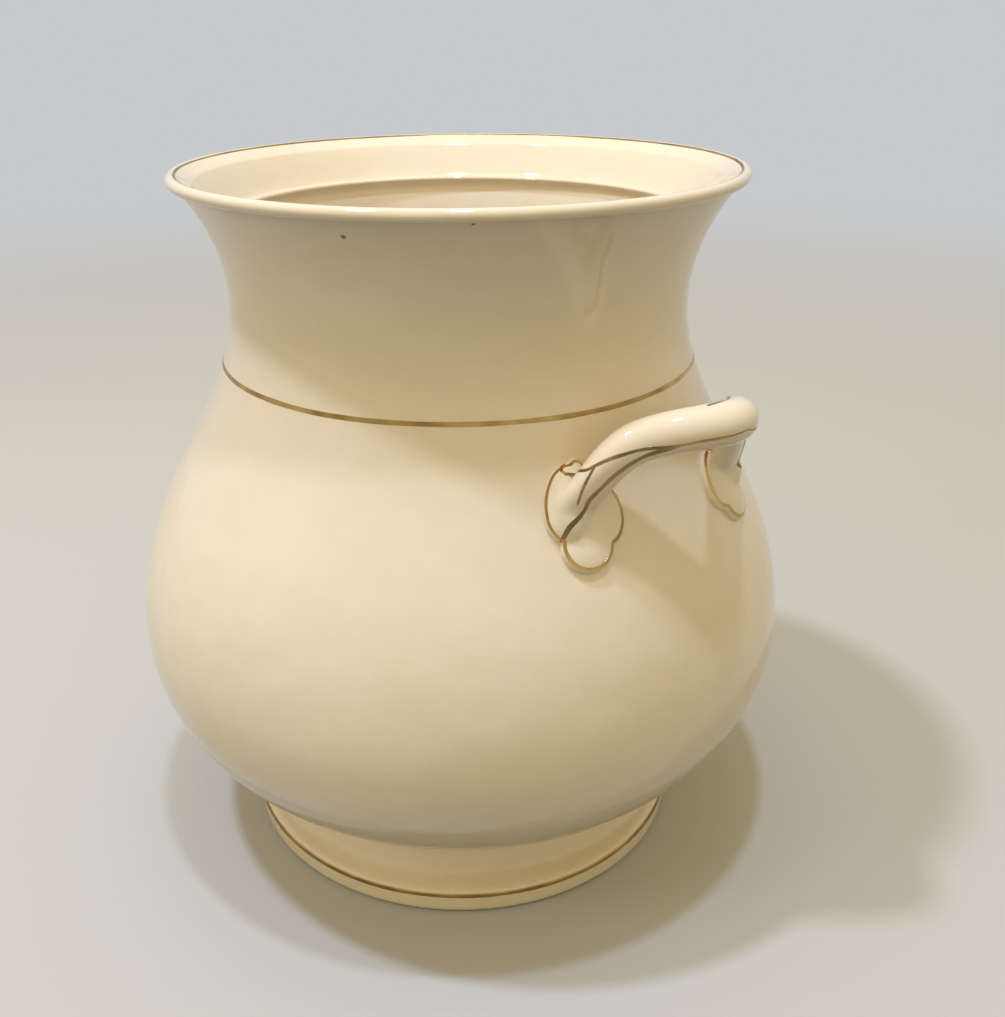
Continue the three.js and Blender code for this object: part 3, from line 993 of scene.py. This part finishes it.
def painted(name, route, width, tree, closed=False):
    """A line of gold laid along a route on a surface."""
    bm = bmesh.new()
    laps = []
    count = len(route)
    for i, spot in enumerate(route):
        before = route[(i - 1) % count] if closed or i > 0 else route[0]
        after = route[(i + 1) % count] if closed or i < count - 1 else route[-1]
        place, normal, _, _ = tree.find_nearest(spot)
        forward = (after - before).normalized()
        across = normal.cross(forward).normalized()
        share = i / (count - 1)
        swell = min(1, stroke_tip + share / stroke_taper, stroke_tip + (1 - share) / stroke_taper)
        thin = 1.0 if closed else swell
        hand = 1 + stroke_unevenness * noise.noise(spot * stroke_fineness)
        lap = []
        for part, raised in brush_section:
            on, out, _, _ = tree.find_nearest(place + across * (part * width * thin * hand))
            lap.append(on + out * raised)
        laps.append(lap)
    _, first_ring = closed_lap(bm, laps[0])
    ring = first_ring
    for lap in laps[1:]:
        verts, ring = drawn_out(bm, ring)
        for vert, point in zip(verts, lap):
            vert.co = point
    if closed:
        bmesh.ops.bridge_loops(bm, edges=first_ring + ring)
    else:
        bmesh.ops.holes_fill(bm, edges=first_ring, sides=0)
        bmesh.ops.holes_fill(bm, edges=ring, sides=0)
    return finished(name, bm)


def surface_of(piece):
    """A piece's faces, to find the nearest place on them."""
    bm = bmesh.new()
    bm.from_mesh(piece.data)
    tree = BVHTree.FromBMesh(bm)
    bm.free()
    return tree


def on_limb(facing, marks):
    """Points just over the grip, from marks of (share along it, turn / pi)."""
    return [
        turn_to(facing) @ on_grip(along, turn * math.pi, limb_line_lift) for along, turn in marks
    ]


def leaf_border(hand, facing):
    """Points just inside a leaf's outline."""
    return [
        leaf_point(hand, facing, 1 - leaf_line_inset / leaf_reach(direction), direction,
                   leaf_edge + leaf_line_lift)
        for direction in spread(0, math.tau, leaf_line_marks)[:-1]
    ]


for side, facing in handle_facings.items():
    tree = surface_of(handles[side])
    for end, hand in (("front", -1), ("back", 1)):
        line = painted(
            f"gold_leaf_line_{side}_{end}", leaf_border(hand, facing), leaf_line_width, tree,
            closed=True)
        joins(line, gilt, "gilt", f"gilt_leaf_line_{side}_{end}")
        for vein, (width, start, way) in veins.items():
            way = [(along if hand < 0 else 1 - along, turn) for along, turn in way]
            marks = [leaf_place(hand, facing, *mark) for mark in start] + on_limb(facing, way)
            route = [through(marks, share) for share in spread(0, 1, vein_marks)]
            line = painted(f"gold_vein_{vein}_{side}_{end}", route, width, tree)
            joins(line, rubbed_and_shaded_gilt, "gilt", f"gilt_vein_{vein}_{side}_{end}")
    marks = on_limb(facing, crest)
    route = [through(marks, share) for share in spread(0, 1, crest_marks)]
    joins(painted(f"gold_crest_{side}", route, crest_width, tree), worn_gilt, "gilt")

# Studio. A pale floor that runs on into a pale surround, with a soft lamp high on the left and one
# overhead, a wide dim one low on the left, and warm light from all round.
pale = (0.580, 0.590, 0.610, 1)
floor_grey = (0.510, 0.515, 0.535, 1)
floor_bounce = (0.130, 0.135, 0.140, 1)
warm_surround = (1.0, 0.830, 0.455, 1)
surround_strength = 0.82
floor_half = 60.0
pail_room = 0.35
far_off = 2.0


def seen(tree):
    """1 where the camera, a reflection or glass looks at it, and 0 where it only gives light."""
    path = tree.nodes.new("ShaderNodeLightPath").outputs
    looked_at = combined(tree, "MAXIMUM", path["Is Camera Ray"], path["Is Glossy Ray"])
    return combined(tree, "MAXIMUM", looked_at, path["Is Transmission Ray"])


def either(tree, share, first, second):
    """A mix of two shaders."""
    node = tree.nodes.new("ShaderNodeMixShader")
    tree.links.new(share, node.inputs[0])
    tree.links.new(first, node.inputs[1])
    tree.links.new(second, node.inputs[2])
    return node.outputs[0]


def floor_finish():
    """Matt grey close by, which fades into the pale surround far off."""
    material = bpy.data.materials.new("studio_floor")
    material.use_nodes = True
    tree = material.node_tree
    shader = tree.nodes["Principled BSDF"]
    shader.inputs["Roughness"].default_value = 0.9
    shader.inputs["Specular IOR Level"].default_value = 0.2
    looked_at = seen(tree)
    tree.links.new(blend(tree, looked_at, floor_bounce, floor_grey), shader.inputs["Base Color"])
    away = tree.nodes.new("ShaderNodeVectorMath")
    away.operation = "LENGTH"
    tree.links.new(tree.nodes.new("ShaderNodeTexCoord").outputs["Object"], away.inputs[0])
    haze = ramp(tree, away.outputs["Value"], pail_room, far_off, soft=True)
    far_light = tree.nodes.new("ShaderNodeEmission")
    far_light.inputs["Color"].default_value = pale
    end = either(
        tree, combined(tree, "MULTIPLY", haze, looked_at), shader.outputs[0], far_light.outputs[0])
    tree.links.new(end, tree.nodes["Material Output"].inputs["Surface"])
    return material


floor_bm = bmesh.new()
bmesh.ops.create_grid(floor_bm, x_segments=1, y_segments=1, size=floor_half)
studio_floor = finished("studio_floor", floor_bm)
studio_floor.data.materials.append(floor_finish())

world = bpy.data.worlds.new("studio")
world.use_nodes = True
bpy.context.scene.world = world
surround = world.node_tree.nodes["Background"]
surround.inputs["Color"].default_value = warm_surround
surround.inputs["Strength"].default_value = surround_strength
shown = world.node_tree.nodes.new("ShaderNodeBackground")
shown.inputs["Color"].default_value = pale
world_end = either(world.node_tree, seen(world.node_tree), surround.outputs[0], shown.outputs[0])
world.node_tree.links.new(world_end, world.node_tree.nodes["World Output"].inputs["Surface"])

camera_azimuth = math.radians(48)
lamp_aim = Vector((0, 0, 0.16))


def lamp(name, turn, rise, distance, size, power, colour):
    """A soft lamp aimed at the pail. turn is measured from the camera's side, to the right."""
    angle = camera_azimuth - math.pi / 2 + math.radians(turn)
    up = math.radians(rise)
    data = bpy.data.lights.new(name, "AREA")
    data.shape = "DISK"
    data.size = size
    data.energy = power
    data.color = colour
    made = bpy.data.objects.new(name, data)
    bpy.context.scene.collection.objects.link(made)
    flat = math.cos(up)
    reach = Vector((flat * math.cos(angle), flat * math.sin(angle), math.sin(up))) * distance
    turned_to_pail = (-reach).to_track_quat("-Z", "Y").to_matrix().to_4x4()
    made.matrix_world = Matrix.Translation(lamp_aim + reach) @ turned_to_pail
    return made


lamp("key", turn=-75, rise=68.5, distance=1.9, size=0.14, power=17.6, colour=(0.72, 0.81, 1.0))
lamp("overhead", turn=1, rise=81, distance=1.9, size=0.12, power=11.2, colour=(0.72, 0.81, 1.0))
fill = lamp("fill", turn=-60, rise=34, distance=1.8, size=0.6, power=3.5, colour=(1, 0.93, 0.84))
fill.visible_glossy = False

# Camera. At the photograph's viewpoint, close by and a little above the mouth. Its place, tilt and
# roll come from the ellipses that the rim, the neck line and the foot make.
camera_reach = 0.4619
camera_height = 0.3562
camera_turn = math.radians(0.099)
camera_tilt = math.radians(23.092)
camera_roll = math.radians(0.659)
camera_data = bpy.data.cameras.new("camera")
camera_data.sensor_width = 36
camera_data.lens = 38.79
camera_data.shift_x = 0.0408
camera_data.shift_y = -0.0286
camera = bpy.data.objects.new("camera", camera_data)
bpy.context.scene.collection.objects.link(camera)
camera_place = Vector((
    camera_reach * math.sin(camera_azimuth),
    -camera_reach * math.cos(camera_azimuth),
    camera_height,
))
camera.matrix_world = (
    Matrix.Translation(camera_place)
    @ Matrix.Rotation(camera_azimuth - camera_turn, 4, "Z")
    @ Matrix.Rotation(math.pi / 2 - camera_tilt, 4, "X")
    @ Matrix.Rotation(-camera_roll, 4, "Z")
)
bpy.context.scene.camera = camera
bpy.context.scene.view_settings.view_transform = "Standard"
